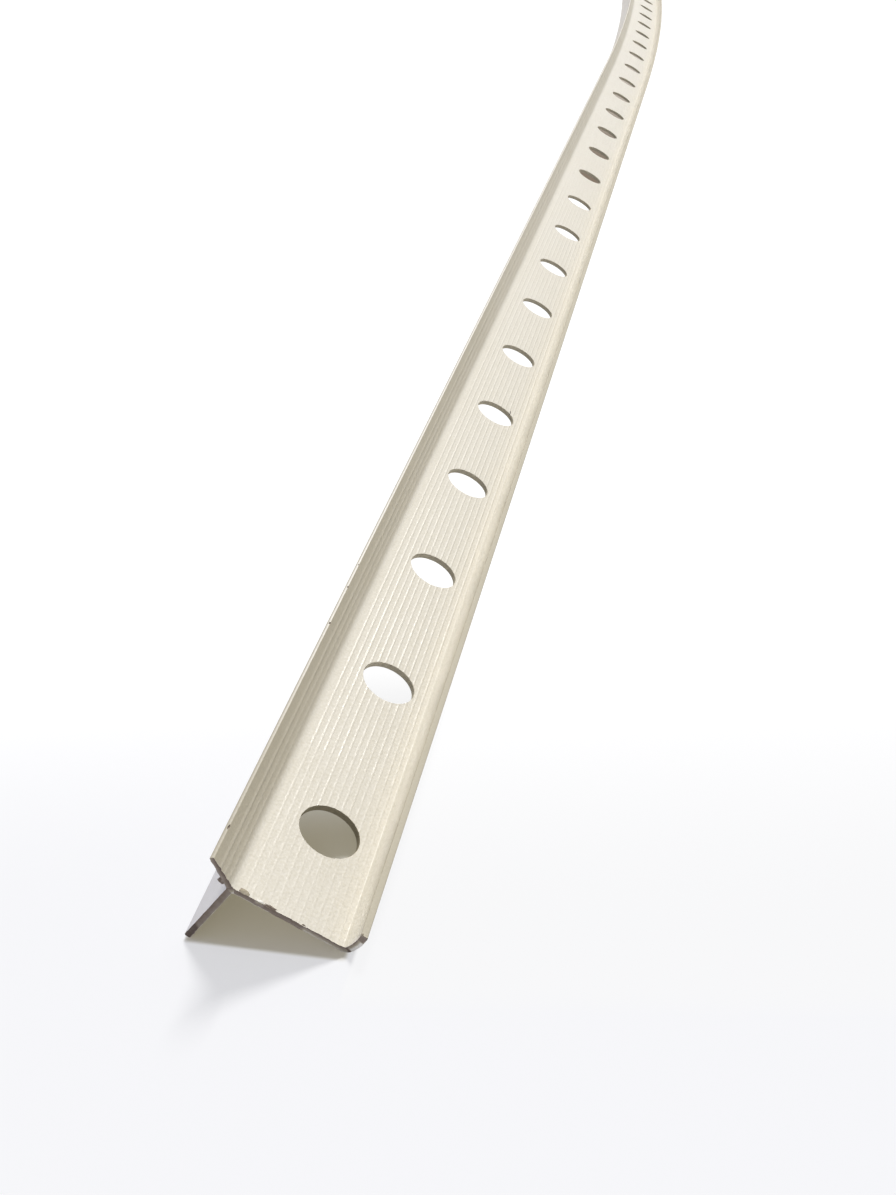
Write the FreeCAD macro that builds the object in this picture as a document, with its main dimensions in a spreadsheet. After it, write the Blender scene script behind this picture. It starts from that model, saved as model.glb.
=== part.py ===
import FreeCAD, Part
import math
import os
import Sketcher
from FreeCAD import Vector

# Plaster corner bead: one length of extruded plastic stock with a Y-shaped section. A wide flange
# with one row of punched holes and a curled lip, a plain wing and a short nose meet in one corner.
# The bead stands like a tent on the wing's edge and on the lip's bend. Its near run lies along +Y
# here, from an end that was sawn off at a slant; then a gentle bow turns it left, and the far run
# follows straight to a square end. At the end the finished bead is turned so that the far run lies
# along +Y, over an origin at the middle of its footprint.

driving = [
    ("stock_length", 2500.0, "length of the bead along its own line"),
    ("wall", 1.1, "thickness of the flange and the lip"),
    ("flange_width", 18.5, "corner to the lip, between middle lines"),
    ("lip_length", 4.5, "curled part of the lip, along its middle line"),
    ("lip_angle", 71.0, "turn from the flange to the start of the lip"),
    ("lip_radius", 10.5, "radius of the curl, at its middle line"),
    ("bend_radius", 0.6, "inside radius of the bend between flange and lip"),
    ("wing_width", 15.9, "corner to the wing's edge"),
    ("wing_wall", 1.0, "thickness of the wing"),
    ("wing_angle", 96.2, "flange to wing, where the wall's corner goes"),
    ("nose_length", 6.4, "corner to the nose's edge"),
    ("nose_root_wall", 1.0, "thickness of the nose at the corner"),
    ("nose_edge_wall", 0.75, "thickness of the nose at its edge"),
    ("nose_angle", 135.6, "flange to nose"),
    ("root_fillet", 1.5, "fillet between flange and nose"),
    ("inner_fillet", 0.6, "fillet between flange and wing"),
    ("notch_fillet", 0.5, "fillet between nose and wing"),
    ("hole_diameter", 10.0, "punched hole"),
    ("hole_offset", 10.0, "corner to the line of the holes"),
    ("hole_pitch", 40.0, "hole to hole along the bead"),
    ("first_hole", 20.0, "near end to the first hole"),
    ("end_margin", 12.0, "least distance from the last hole to the far end"),
    ("near_run", 610.0, "straight run at the near end"),
    ("bow_run", 400.0, "length of the bow"),
    ("bow_radius", 5500.0, "radius of the bow"),
    ("saw_slant_across", 1.35, "slant of the sawn near end, from the lip back towards the corner"),
    ("saw_slant_up", 8.5, "slant of the sawn near end, from the nose back towards the wing's edge"),
]

# What follows from them: where the wing's edge and the lip's bend stand, how far the flange slopes
# to the floor, how high the corner stands, and how many holes each run holds.
derived = [
    ("foot_across", "wing_width * cos(wing_angle) + wing_wall / 2 * sin(wing_angle)"),
    ("foot_up", "wing_wall / 2 * cos(wing_angle) - wing_width * sin(wing_angle)"),
    ("bend_across", "flange_width - (bend_radius + wall / 2) * tan(lip_angle / 2)"),
    ("bend_up", "wall / 2 + bend_radius"),
    ("foot_span", "sqrt((bend_across - foot_across) ^ 2 + (bend_up - foot_up) ^ 2)"),
    ("slope", "atan2(bend_up - foot_up; bend_across - foot_across)"
              " - asin((bend_radius + wall) / foot_span)"),
    ("corner_height", "foot_across * sin(slope) - foot_up * cos(slope)"),
    ("lip_turn", "lip_length / lip_radius * 180 / pi"),
    ("saw_setback", "tan(saw_slant_across) * (flange_width + wall)"
                    " + tan(saw_slant_up) * (lip_length + wall)"),
    ("saw_reach", "2 * (flange_width + wing_width)"),
    ("saw_travel", "wing_width"),
    ("punch_travel", "3 * wall"),
    ("bow_turn", "bow_run / bow_radius * 180 / pi"),
    ("far_run", "stock_length - near_run - bow_run"),
    ("near_holes", "floor((near_run - first_hole) / hole_pitch) + 1"),
    ("bow_start_gap", "first_hole + near_holes * hole_pitch - near_run"),
    ("bow_holes", "floor((bow_run - bow_start_gap) / hole_pitch) + 1"),
    ("far_start_gap", "bow_start_gap + bow_holes * hole_pitch - bow_run"),
    ("far_holes", "floor((far_run - end_margin - far_start_gap) / hole_pitch) + 1"),
    ("bow_first_turn", "bow_start_gap / bow_radius * 180 / pi"),
    ("bow_pattern_turn", "(bow_holes - 1) * hole_pitch / bow_radius * 180 / pi"),
]


def fill_sheet(doc):
    sheet = doc.addObject("Spreadsheet::Sheet", "Sizes")
    row = 1
    for alias, value, note in driving:
        sheet.set("A%d" % row, note)
        sheet.set("B%d" % row, "%g" % value)
        sheet.setAlias("B%d" % row, alias)
        row += 1
    for alias, formula in derived:
        sheet.set("B%d" % row, "=" + formula)
        sheet.setAlias("B%d" % row, alias)
        row += 1
    doc.recompute()
    return sheet


def add_sketch(body, name, role):
    """A sketch flat on one of the body's own origin planes."""
    plane = [item for item in body.Origin.OriginFeatures if item.Role == role][0]
    sketch = body.newObject("Sketcher::SketchObject", name)
    sketch.AttachmentSupport = [(plane, "")]
    sketch.MapMode = "FlatFace"
    return sketch


def direction(degrees):
    return Vector(math.cos(math.radians(degrees)), math.sin(math.radians(degrees)), 0)


def left_of(along):
    return Vector(-along.y, along.x, 0)


def crossing(point_a, along_a, point_b, along_b):
    """Where two lines meet, each given by a point and a direction."""
    gap = point_b - point_a
    share = (gap.x * along_b.y - gap.y * along_b.x) / (along_a.x * along_b.y - along_a.y * along_b.x)
    return point_a + along_a * share


class Outline:
    """Draws in a sketch and ties what it draws to the sheet."""

    def __init__(self, sketch):
        self.sketch = sketch

    def line(self, first, second, construction=False):
        return self.sketch.addGeometry(Part.LineSegment(first, second), construction)

    def arc(self, first, middle, last):
        return self.sketch.addGeometry(Part.Arc(first, middle, last), False)

    def fillet(self, corner, along_a, along_b, radius):
        """An arc in the corner of two lines that leave it along_a and along_b."""
        bisector = (along_a + along_b).normalize()
        half = along_a.getAngle(bisector)
        reach = radius / math.tan(half)
        middle = corner + bisector * (radius / math.sin(half) - radius)
        return self.arc(corner + along_a * reach, middle, corner + along_b * reach)

    def nearest_end(self, element, point):
        return min((START, END), key=lambda which: (self.sketch.getPoint(element, which) - point).Length)

    def line_between(self, first, first_at, second, second_at):
        """A line from the end of one element to the end of another, each the end nearest a point."""
        return self.line(self.sketch.getPoint(first, self.nearest_end(first, first_at)),
                         self.sketch.getPoint(second, self.nearest_end(second, second_at)))

    def tie(self, kind, *arguments):
        return self.sketch.addConstraint(Sketcher.Constraint(kind, *arguments))

    def join(self, kind, first, second):
        """Holds the two ends that already lie on each other together."""
        pairs = [((self.sketch.getPoint(first, a) - self.sketch.getPoint(second, b)).Length, a, b)
                 for a in (START, END) for b in (START, END)]
        gap, end_a, end_b = min(pairs)
        self.tie(kind, first, end_a, second, end_b)

    def size(self, kind, expression, *arguments):
        """A dimension whose value comes from the sheet."""
        value = float(self.sketch.evalExpression(expression))
        number = math.radians(value) if kind == "Angle" else value
        index = self.tie(kind, *arguments, number)
        unit = " * 1 deg" if kind == "Angle" else ""
        self.sketch.setExpression("Constraints[%d]" % index, "(" + expression + ")" + unit)


# Sketcher's numbers: the ends and the centre of an element, and the sketch's own origin and X axis.
START, END, CENTRE = 1, 2, 3
AXES = -1

# How far the volume that the holes take away may be from that of plain round holes.
LARGEST_ERROR_SHARE = 0.01


def draw_limb(draw, angle, width, edge_wall):
    """The middle line and the square edge of the wing or the nose, by the names of their sizes."""
    degrees, length, thickness = [float(draw.sketch.evalExpression(name))
                                  for name in (angle, width, edge_wall)]
    along = direction(degrees)
    tip = along * length
    half = left_of(along) * (thickness / 2)
    centre_line = draw.line(Vector(), tip, True)
    edge = draw.line(tip + half, tip - half)
    draw.tie("Coincident", centre_line, START, AXES, START)
    draw.size("Angle", angle, centre_line)
    draw.size("Distance", width, centre_line)
    draw.tie("Symmetric", edge, START, edge, END, centre_line, END)
    draw.tie("Perpendicular", edge, centre_line)
    draw.size("Distance", edge_wall, edge)
    return centre_line, edge, along, tip, half


def draw_lip(draw, sheet):
    """A tight bend, then a wide curl, as pairs of arcs about shared centres, and the lip's edge."""
    half_wall = sheet.wall / 2
    bend_centre = Vector(sheet.bend_across, sheet.bend_up, 0)
    curl_end = sheet.lip_angle + sheet.lip_turn
    outward = direction(sheet.lip_angle - 90)
    curl_centre = bend_centre - outward * (sheet.lip_radius - sheet.bend_up)

    def arc_about(centre, radius, first, last):
        return draw.arc(centre + direction(first - 90) * radius,
                        centre + direction((first + last) / 2 - 90) * radius,
                        centre + direction(last - 90) * radius)

    inner_bend = arc_about(bend_centre, sheet.bend_radius, 0, sheet.lip_angle)
    outer_bend = arc_about(bend_centre, sheet.bend_radius + sheet.wall, 0, sheet.lip_angle)
    inner_curl = arc_about(curl_centre, sheet.lip_radius - half_wall, sheet.lip_angle, curl_end)
    outer_curl = arc_about(curl_centre, sheet.lip_radius + half_wall, sheet.lip_angle, curl_end)
    edge_along = direction(curl_end - 90)
    edge = draw.line(curl_centre + edge_along * (sheet.lip_radius - half_wall),
                     curl_centre + edge_along * (sheet.lip_radius + half_wall))

    draw.tie("Coincident", inner_bend, CENTRE, outer_bend, CENTRE)
    draw.tie("Coincident", inner_curl, CENTRE, outer_curl, CENTRE)
    draw.join("Tangent", inner_bend, inner_curl)
    draw.join("Tangent", outer_bend, outer_curl)
    draw.join("Coincident", inner_curl, edge)
    draw.join("Coincident", outer_curl, edge)
    draw.size("Radius", "Sizes.bend_radius", inner_bend)
    draw.size("Radius", "Sizes.lip_radius - Sizes.wall / 2", inner_curl)
    draw.size("Radius", "Sizes.lip_radius + Sizes.wall / 2", outer_curl)
    draw.size("DistanceX", "Sizes.bend_across", AXES, START, inner_bend, CENTRE)
    draw.size("DistanceX", "(Sizes.lip_radius - Sizes.bend_up) * sin(Sizes.lip_angle)",
              inner_curl, CENTRE, inner_bend, CENTRE)
    draw.tie("PointOnObject", inner_curl, CENTRE, edge)
    draw.size("Angle", "Sizes.lip_angle + Sizes.lip_turn - 90", edge)
    return inner_bend, outer_bend, bend_centre


def draw_section(sheet, sketch):
    """The Y in the flange's own axes, from the corner where the three middle lines meet."""
    draw = Outline(sketch)
    rightward = Vector(1, 0, 0)
    top_point = Vector(0, sheet.wall / 2, 0)

    wing_line, wing_edge, wing_along, wing_tip, wing_half = draw_limb(
        draw, "-Sizes.wing_angle", "Sizes.wing_width", "Sizes.wing_wall")
    nose_line, nose_edge, nose_along, nose_tip, nose_half = draw_limb(
        draw, "Sizes.nose_angle", "Sizes.nose_length", "Sizes.nose_edge_wall")
    inner_bend, outer_bend, bend_centre = draw_lip(draw, sheet)

    nose_root = left_of(nose_along) * (sheet.nose_root_wall / 2)
    nose_inner_along = (nose_tip - nose_half + nose_root).normalize()
    nose_outer_along = (nose_tip + nose_half - nose_root).normalize()
    root = crossing(top_point, rightward, nose_tip - nose_half, nose_inner_along)
    notch = crossing(nose_tip + nose_half, nose_outer_along, wing_tip - wing_half, wing_along)
    armpit = crossing(top_point * -1, rightward, wing_tip + wing_half, wing_along)
    root_arc = draw.fillet(root, rightward, nose_inner_along, sheet.root_fillet)
    notch_arc = draw.fillet(notch, nose_outer_along, wing_along, sheet.notch_fillet)
    armpit_arc = draw.fillet(armpit, rightward, wing_along, sheet.inner_fillet)

    flange_top = draw.line_between(root_arc, bend_centre, inner_bend, root)
    flange_under = draw.line_between(armpit_arc, bend_centre, outer_bend, armpit)
    wing_inner = draw.line_between(armpit_arc, wing_tip, wing_edge, armpit)
    wing_outer = draw.line_between(notch_arc, wing_tip, wing_edge, notch)
    nose_inner = draw.line_between(root_arc, nose_tip, nose_edge, root)
    nose_outer = draw.line_between(notch_arc, nose_tip, nose_edge, notch)

    for face, arcs in ((flange_top, (root_arc, inner_bend)), (flange_under, (armpit_arc, outer_bend)),
                       (wing_inner, (armpit_arc,)), (wing_outer, (notch_arc,)),
                       (nose_inner, (root_arc,)), (nose_outer, (notch_arc,))):
        for arc in arcs:
            draw.join("Tangent", arc, face)
    for face, edge in ((wing_inner, wing_edge), (wing_outer, wing_edge),
                       (nose_inner, nose_edge), (nose_outer, nose_edge)):
        draw.join("Coincident", face, edge)
    draw.tie("Horizontal", flange_top)
    draw.tie("Horizontal", flange_under)
    draw.tie("Parallel", wing_inner, wing_line)
    draw.tie("Parallel", wing_outer, wing_line)
    draw.size("Distance", "Sizes.nose_root_wall / 2", AXES, START, nose_inner)
    draw.size("Distance", "Sizes.nose_root_wall / 2", AXES, START, nose_outer)
    draw.size("DistanceY", "Sizes.wall / 2", AXES, START, flange_top, START)
    draw.size("Radius", "Sizes.root_fillet", root_arc)
    draw.size("Radius", "Sizes.notch_fillet", notch_arc)
    draw.size("Radius", "Sizes.inner_fillet", armpit_arc)


def draw_path(sheet, sketch):
    """The near run, the bow and the far run, about the centre of the bow."""
    draw = Outline(sketch)
    bow_end = direction(sheet.bow_turn) * sheet.bow_radius
    far_along = left_of(direction(sheet.bow_turn))
    bow_start = Vector(sheet.bow_radius, 0, 0)
    near = draw.line(bow_start - Vector(0, sheet.near_run, 0), bow_start)
    bow = draw.arc(bow_start, direction(sheet.bow_turn / 2) * sheet.bow_radius, bow_end)
    far = draw.line(bow_end, bow_end + far_along * sheet.far_run)
    draw.tie("Coincident", bow, CENTRE, AXES, START)
    draw.tie("PointOnObject", near, END, AXES)
    draw.join("Tangent", near, bow)
    draw.join("Tangent", bow, far)
    draw.size("Radius", "Sizes.bow_radius", bow)
    draw.size("Distance", "Sizes.near_run", near)
    draw.size("Distance", "Sizes.far_run", far)
    draw.size("Angle", "90 + Sizes.bow_turn", far)


def sweep_bead(body, section, path):
    bead = body.newObject("PartDesign::AdditivePipe", "ExtrudedSection")
    bead.Profile = section
    bead.Spine = (path, ["Edge1", "Edge2", "Edge3"])
    bead.Mode = "Standard"
    body.Document.recompute()


def saw_end(body, sheet):
    """Takes the near end off at a slant, so that only the lip keeps the full length."""
    sketch = add_sketch(body, "SawFace", "XZ_Plane")
    sketch.setExpression("AttachmentOffset", "placement(vector(0; Sizes.corner_height; -Sizes.saw_setback); "
                         "rotation(-Sizes.slope; -Sizes.saw_slant_across; Sizes.saw_slant_up))")
    draw = Outline(sketch)
    half = sheet.saw_reach / 2
    corners = [Vector(-half, -half, 0), Vector(half, -half, 0), Vector(half, half, 0), Vector(-half, half, 0)]
    sides = [draw.line(first, second) for first, second in zip(corners, corners[1:] + corners[:1])]
    for first, second in zip(sides, sides[1:] + sides[:1]):
        draw.join("Coincident", first, second)
    for side, kind in zip(sides, ("Horizontal", "Vertical", "Horizontal", "Vertical")):
        draw.tie(kind, side)
    draw.tie("Symmetric", sides[0], START, sides[1], END, AXES, START)
    draw.size("DistanceX", "Sizes.saw_reach", sides[0], START, sides[0], END)
    draw.size("DistanceY", "Sizes.saw_reach", sides[1], START, sides[1], END)
    body.Document.recompute()
    sawn = body.newObject("PartDesign::Pocket", "SawnEnd")
    sawn.Profile = sketch
    sawn.Reversed = True
    sawn.setExpression("Length", "Sizes.saw_travel")
    body.Document.recompute()
    return sawn


def punch_row(body, name, place, turn, pattern_type, path):
    """One hole through the flange and its pattern along a run; place is the foot of the sloping
    middle plane of the flange, as an expression for the corner's x and y."""
    across, along = place
    sketch = add_sketch(body, name + "Circle", "XY_Plane")
    sketch.setExpression("AttachmentOffset", "placement(vector(%s; %s; Sizes.corner_height); "
                         "rotation(%s; Sizes.slope; 0))" % (across, along, turn))
    draw = Outline(sketch)
    centre = Vector(float(sketch.evalExpression("Sizes.hole_offset")), 0, 0)
    radius = float(sketch.evalExpression("Sizes.hole_diameter")) / 2
    circle = sketch.addGeometry(Part.Circle(centre, Vector(0, 0, 1), radius), False)
    draw.tie("PointOnObject", circle, CENTRE, AXES)
    draw.size("DistanceX", "Sizes.hole_offset", AXES, START, circle, CENTRE)
    draw.size("Diameter", "Sizes.hole_diameter", circle)
    body.Document.recompute()
    punch = body.newObject("PartDesign::Pocket", name + "Punch")
    punch.Profile = sketch
    punch.Midplane = True
    punch.setExpression("Length", "Sizes.punch_travel")
    body.Document.recompute()
    pattern = body.newObject("PartDesign::" + pattern_type, name + "Row")
    pattern.Originals = [punch]
    if pattern_type == "PolarPattern":
        pattern.Axis = (path, ["N_Axis"])
        pattern.setExpression("Angle", "Sizes.bow_pattern_turn * 1 deg")
    else:
        pattern.Direction = (sketch, ["V_Axis"])
        pattern.setExpression("Length", "(Sizes.%s_holes - 1) * Sizes.hole_pitch" % name.lower())
    pattern.setExpression("Occurrences", "Sizes.%s_holes" % name.lower())
    body.Tip = pattern
    body.Document.recompute()
    return pattern


def settle(body, sheet):
    """Turns the far run along +Y and puts the origin under the middle of the bead's box."""
    body.Placement = FreeCAD.Placement(Vector(), FreeCAD.Rotation(Vector(0, 0, 1), -sheet.bow_turn))
    box = body.Shape.optimalBoundingBox(False, False)
    body.Placement.Base = Vector(-box.Center.x, -box.Center.y, -box.ZMin)
    body.Document.recompute()


def check(doc, body, whole_volume, sheet):
    for item in doc.Objects:
        if "Invalid" in item.State or "Error" in item.State:
            raise RuntimeError("%s failed: %s" % (item.Name, item.getStatusString()))
    if body.Shape.isNull() or not body.Shape.isValid() or len(body.Shape.Solids) != 1:
        raise RuntimeError("the bead is not one valid solid")
    holes = sheet.near_holes + sheet.bow_holes + sheet.far_holes
    punched = holes * math.pi * sheet.hole_diameter ** 2 / 4 * sheet.wall
    error_share = abs(whole_volume - body.Shape.Volume - punched) / punched
    if error_share > LARGEST_ERROR_SHARE:
        raise RuntimeError("the holes do not go through the flange alone")
    print("holes", holes, "volume", round(body.Shape.Volume))
    print("box", body.Shape.optimalBoundingBox(False, False))


def build():
    doc = FreeCAD.newDocument("PlasterCornerBead")
    sheet = fill_sheet(doc)
    body = doc.addObject("PartDesign::Body", "CornerBead")
    body.Label = "corner_bead"

    path = add_sketch(body, "Path", "XY_Plane")
    path.setExpression("AttachmentOffset.Base.x", "-Sizes.bow_radius")
    path.setExpression("AttachmentOffset.Base.y", "Sizes.near_run")
    draw_path(sheet, path)
    section = add_sketch(body, "Section", "XZ_Plane")
    section.setExpression("AttachmentOffset.Base.y", "Sizes.corner_height")
    section.setExpression("AttachmentOffset.Rotation.Angle", "-Sizes.slope")
    draw_section(sheet, section)
    sweep_bead(body, section, path)
    sawn = saw_end(body, sheet)
    whole_volume = sawn.Shape.Volume

    bow_x, bow_y = "-Sizes.bow_radius", "Sizes.near_run"
    punch_row(body, "Near", ("0", "Sizes.first_hole"), "0", "LinearPattern", path)
    punch_row(body, "Bow", (bow_x + " + Sizes.bow_radius * cos(Sizes.bow_first_turn)",
                            bow_y + " + Sizes.bow_radius * sin(Sizes.bow_first_turn)"),
              "Sizes.bow_first_turn", "PolarPattern", path)
    punch_row(body, "Far", (bow_x + " + Sizes.bow_radius * cos(Sizes.bow_turn)"
                            " - Sizes.far_start_gap * sin(Sizes.bow_turn)",
                            bow_y + " + Sizes.bow_radius * sin(Sizes.bow_turn)"
                            " + Sizes.far_start_gap * cos(Sizes.bow_turn)"),
              "Sizes.bow_turn", "LinearPattern", path)
    settle(body, sheet)
    check(doc, body, whole_volume, sheet)
    os.makedirs("parts", exist_ok=True)
    body.Shape.exportStep("parts/%s.step" % body.Label)


build()
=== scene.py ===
import math
import random

import bmesh
import bpy
from mathutils import Matrix, Vector, noise


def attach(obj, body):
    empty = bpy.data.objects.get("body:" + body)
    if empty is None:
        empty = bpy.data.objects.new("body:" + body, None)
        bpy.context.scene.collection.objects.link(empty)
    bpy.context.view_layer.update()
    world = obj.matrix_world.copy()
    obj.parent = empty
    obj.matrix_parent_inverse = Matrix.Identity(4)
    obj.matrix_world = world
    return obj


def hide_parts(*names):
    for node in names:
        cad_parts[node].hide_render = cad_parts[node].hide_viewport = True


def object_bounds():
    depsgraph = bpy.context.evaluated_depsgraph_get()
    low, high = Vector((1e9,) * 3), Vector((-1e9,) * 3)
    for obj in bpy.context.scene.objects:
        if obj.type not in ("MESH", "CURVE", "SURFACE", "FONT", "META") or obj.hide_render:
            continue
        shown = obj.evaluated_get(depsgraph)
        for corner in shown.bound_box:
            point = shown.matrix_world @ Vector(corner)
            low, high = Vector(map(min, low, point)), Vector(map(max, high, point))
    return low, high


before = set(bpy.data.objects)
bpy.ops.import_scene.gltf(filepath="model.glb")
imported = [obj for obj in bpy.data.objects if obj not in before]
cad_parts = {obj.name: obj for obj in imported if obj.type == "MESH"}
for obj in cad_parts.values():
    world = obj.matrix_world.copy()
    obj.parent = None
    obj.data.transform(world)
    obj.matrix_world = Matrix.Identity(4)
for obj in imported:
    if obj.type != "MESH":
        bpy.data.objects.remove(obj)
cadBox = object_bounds()
print("frame loaded, box", [list(corner) for corner in cadBox])

mm = 0.001
sectionWeld = 0.0005                               # points closer than this are one, as drawn
beadWeld = 0.0002                                  # and once the bead is cut and punched
randomSeed = 7

# The bead, in millimetres and degrees, by the same names as the part it dresses
bead = {
    "length": 2500.0,
    "wall": 1.1,
    "flangeWidth": 18.5,
    "lipLength": 4.5,
    "lipAngle": 71.0,
    "lipRadius": 10.5,
    "bendRadius": 0.6,
    "wingWidth": 15.9,
    "wingWall": 1.0,
    "wingAngle": 96.2,
    "noseLength": 6.4,
    "noseRootWall": 1.0,
    "noseEdgeWall": 0.75,
    "noseAngle": 135.6,
    "rootFillet": 1.5,
    "innerFillet": 0.6,
    "notchFillet": 0.5,
    "edgeRound": 0.22,       # rounding of the lip's, the wing's and the nose's edges
    "holeDiameter": 10.0,
    "holeOffset": 10.0,
    "holePitch": 40.0,
    "firstHole": 20.0,
    "endMargin": 12.0,       # the last hole lies at least this far from the far end
    "nearRun": 610.0,
    "bowRun": 400.0,
    "bowRadius": 5500.0,
    "wallStep": 0.75,        # longest edge round the plain parts of the section
    "stretch": 18.0,         # how often the long faces are cut across, and how often after the bow
    "farStretch": 72.0,
    "smoothUnder": 12.0,     # edges at a smaller angle than this are smooth
}

slots = {"ivory": 0, "sawn": 1, "punched": 2}      # the bead's material slots

# Fine ribs along the flange's top, and flatter ones on the nose's inner side
ribs = {
    "first": 1.85,           # across the flange, from the corner
    "pitch": 1.245,
    "count": 13,
    "height": 0.052,
    "uneven": 0.2,           # share by which their heights differ
    "left": 0.25,            # from the crest to the foot on each side
    "right": 0.21,
    "settle": 0.12,          # and on to where the painted shade along the right foot ends
    "foot": 0.03,            # how near the right foot a point counts as on it
    "touched": (-0.2, 1.3),  # heights, as shares of a whole rib's, between which a point counts as ribbed
    "strip": (1.5, 17.5),    # across the flange, the strip that they lie in
    "rubbed": 0.27,          # share of the height that is left at the near end
    "rubbedTo": 12.0,        # along the bead, where they begin to rise, and where they are whole
    "fullFrom": 64.0,
    "fadeFrom": 220.0,       # along the bead, where their painted crest highlights and foot shade fade out
    "fadeTo": 500.0,
    "noseFirst": 1.8,        # along the nose, from the corner
    "nosePitch": 1.25,
    "noseCount": 3,
    "noseHeight": 0.09,
    "noseHalf": 0.45,        # from the crest to the foot on both sides
}

# The near end, sawn at a slant. Its smear goes from 0, clean, to 1, dark, on each limb's two sides
sawCut = {
    "slantAcross": 1.35,
    "slantUp": 8.5,
    "inset": 0.05,           # how far inside the part's own cut it lies
    "rings": (0.14, 0.4, 1.1, 3.0),    # how far behind the cut the faces are cut across
    "rim": 0.12,
    "ragged": 0.1,           # how uneven the rim is along the bead, coarse and fine
    "raggedScale": 1.9,
    "raggedFine": 0.6,
    "raggedFineScale": 5.3,
    "burr": 0.07,            # how far the rim stands out at most
    "burrScale": 1.3,
    "burrPlace": (9, 4, 2),
    "dished": 0.05,          # how deep the face inside the rim lies
    "dishedUneven": 0.06,
    "dishedScale": 2.7,
    "skin": 0.05,            # how thick the clean edges of the cut are
    "flangeSmear": (0.86, 0.66),
    "outerFlangeSmear": (0.86, 0.24),
    "outerFlange": 11.6,     # across the flange, where its smear gets thinner
    "underClean": 6.5,       # and how far its under edge is clean
    "chip": (4.0, 5.2),
    "chipSmear": 0.35,
    "lipSmear": (0.7, -0.2),
    "lipFrom": -0.2,         # along the lip, from the bend's centre
    "wingSmear": (0.66, 0.8),
    "wingSkinSmear": 0.15,
    "wingFootSmear": 1.0,
    "wingFoot": 12.2,        # down the wing, where its foot begins to be darker
    "noseSmear": (0.95, 0.56),
    # how dark the faces of the nicks away from the cut are
    "nickDark": 0.8,
    "behind": 1.2,           # how far behind the cut the smear reaches
}


def direction(degrees):
    return Vector((math.cos(math.radians(degrees)), 0, math.sin(math.radians(degrees))))


def leftOf(along):
    return Vector((-along.z, 0, along.x))


def crossing(pointA, alongA, pointB, alongB):      # where two lines of the section meet
    gap = pointB - pointA
    share = (gap.x * alongB.z - gap.z * alongB.x) / (alongA.x * alongB.z - alongA.z * alongB.x)
    return pointA + alongA * share


def bendPlace():                                   # centre of the bend between flange and lip
    up = bead["wall"] / 2 + bead["bendRadius"]
    return bead["flangeWidth"] - up * math.tan(math.radians(bead["lipAngle"] / 2)), up


class Pen:
    # draws the section's outline: x is across the flange, z is up from its middle
    def __init__(self, mesh, start):
        self.mesh = mesh
        self.tip = mesh.verts.new(start)

    def line(self, end, step=None):
        start = self.tip.co.copy()
        end = Vector(end)
        count = 1 if step is None else max(1, math.ceil((end - start).length / step))
        for number in range(1, count + 1):
            made = bmesh.ops.extrude_vert_indiv(self.mesh, verts=[self.tip])
            self.tip = made["verts"][0]
            self.tip.co = start.lerp(end, number / count)
        return self.tip

    def arc(self, centre, turn, steps):            # turns from x towards z
        made = bmesh.ops.spin(self.mesh, geom=[self.tip], cent=centre, axis=(0, -1, 0),
                              angle=math.radians(turn), steps=steps)
        self.tip = [item for item in made["geom_last"] if isinstance(item, bmesh.types.BMVert)][0]

    def fillet(self, corner, alongIn, alongOut, radius, steps, step):
        # runs to an arc in the corner of two lines that leave it alongIn and alongOut, and round it
        bisector = (alongIn + alongOut).normalized()
        half = alongIn.angle(bisector)
        self.line(corner + alongIn * (radius / math.tan(half)), step)
        turn = 180 - 2 * math.degrees(half)
        inward = alongIn.x * alongOut.z - alongIn.z * alongOut.x
        self.arc(corner + bisector * (radius / math.sin(half)), math.copysign(turn, -inward), steps)


def ribRow(pen, start, along, outward, places, height, before, after):
    # a low crest at each place along a straight face
    for place in places:
        pen.line(start + along * (place - before))
        uneven = random.uniform(1 - ribs["uneven"], 1 + ribs["uneven"])
        pen.line(start + along * place + outward * height * uneven)
        pen.line(start + along * (place + after))
        pen.line(start + along * (place + after + ribs["settle"]))


def limbLines(angle, width, rootWall, edgeWall):
    # the left and the right face of a limb that leaves the corner: each one's end, and its direction
    along = direction(angle)
    tip = along * width
    side = leftOf(along)
    leftRoot, leftTip = side * (rootWall / 2), tip + side * (edgeWall / 2)
    rightRoot, rightTip = side * (-rootWall / 2), tip - side * (edgeWall / 2)
    return leftTip, (leftTip - leftRoot).normalized(), rightTip, (rightTip - rightRoot).normalized()


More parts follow.
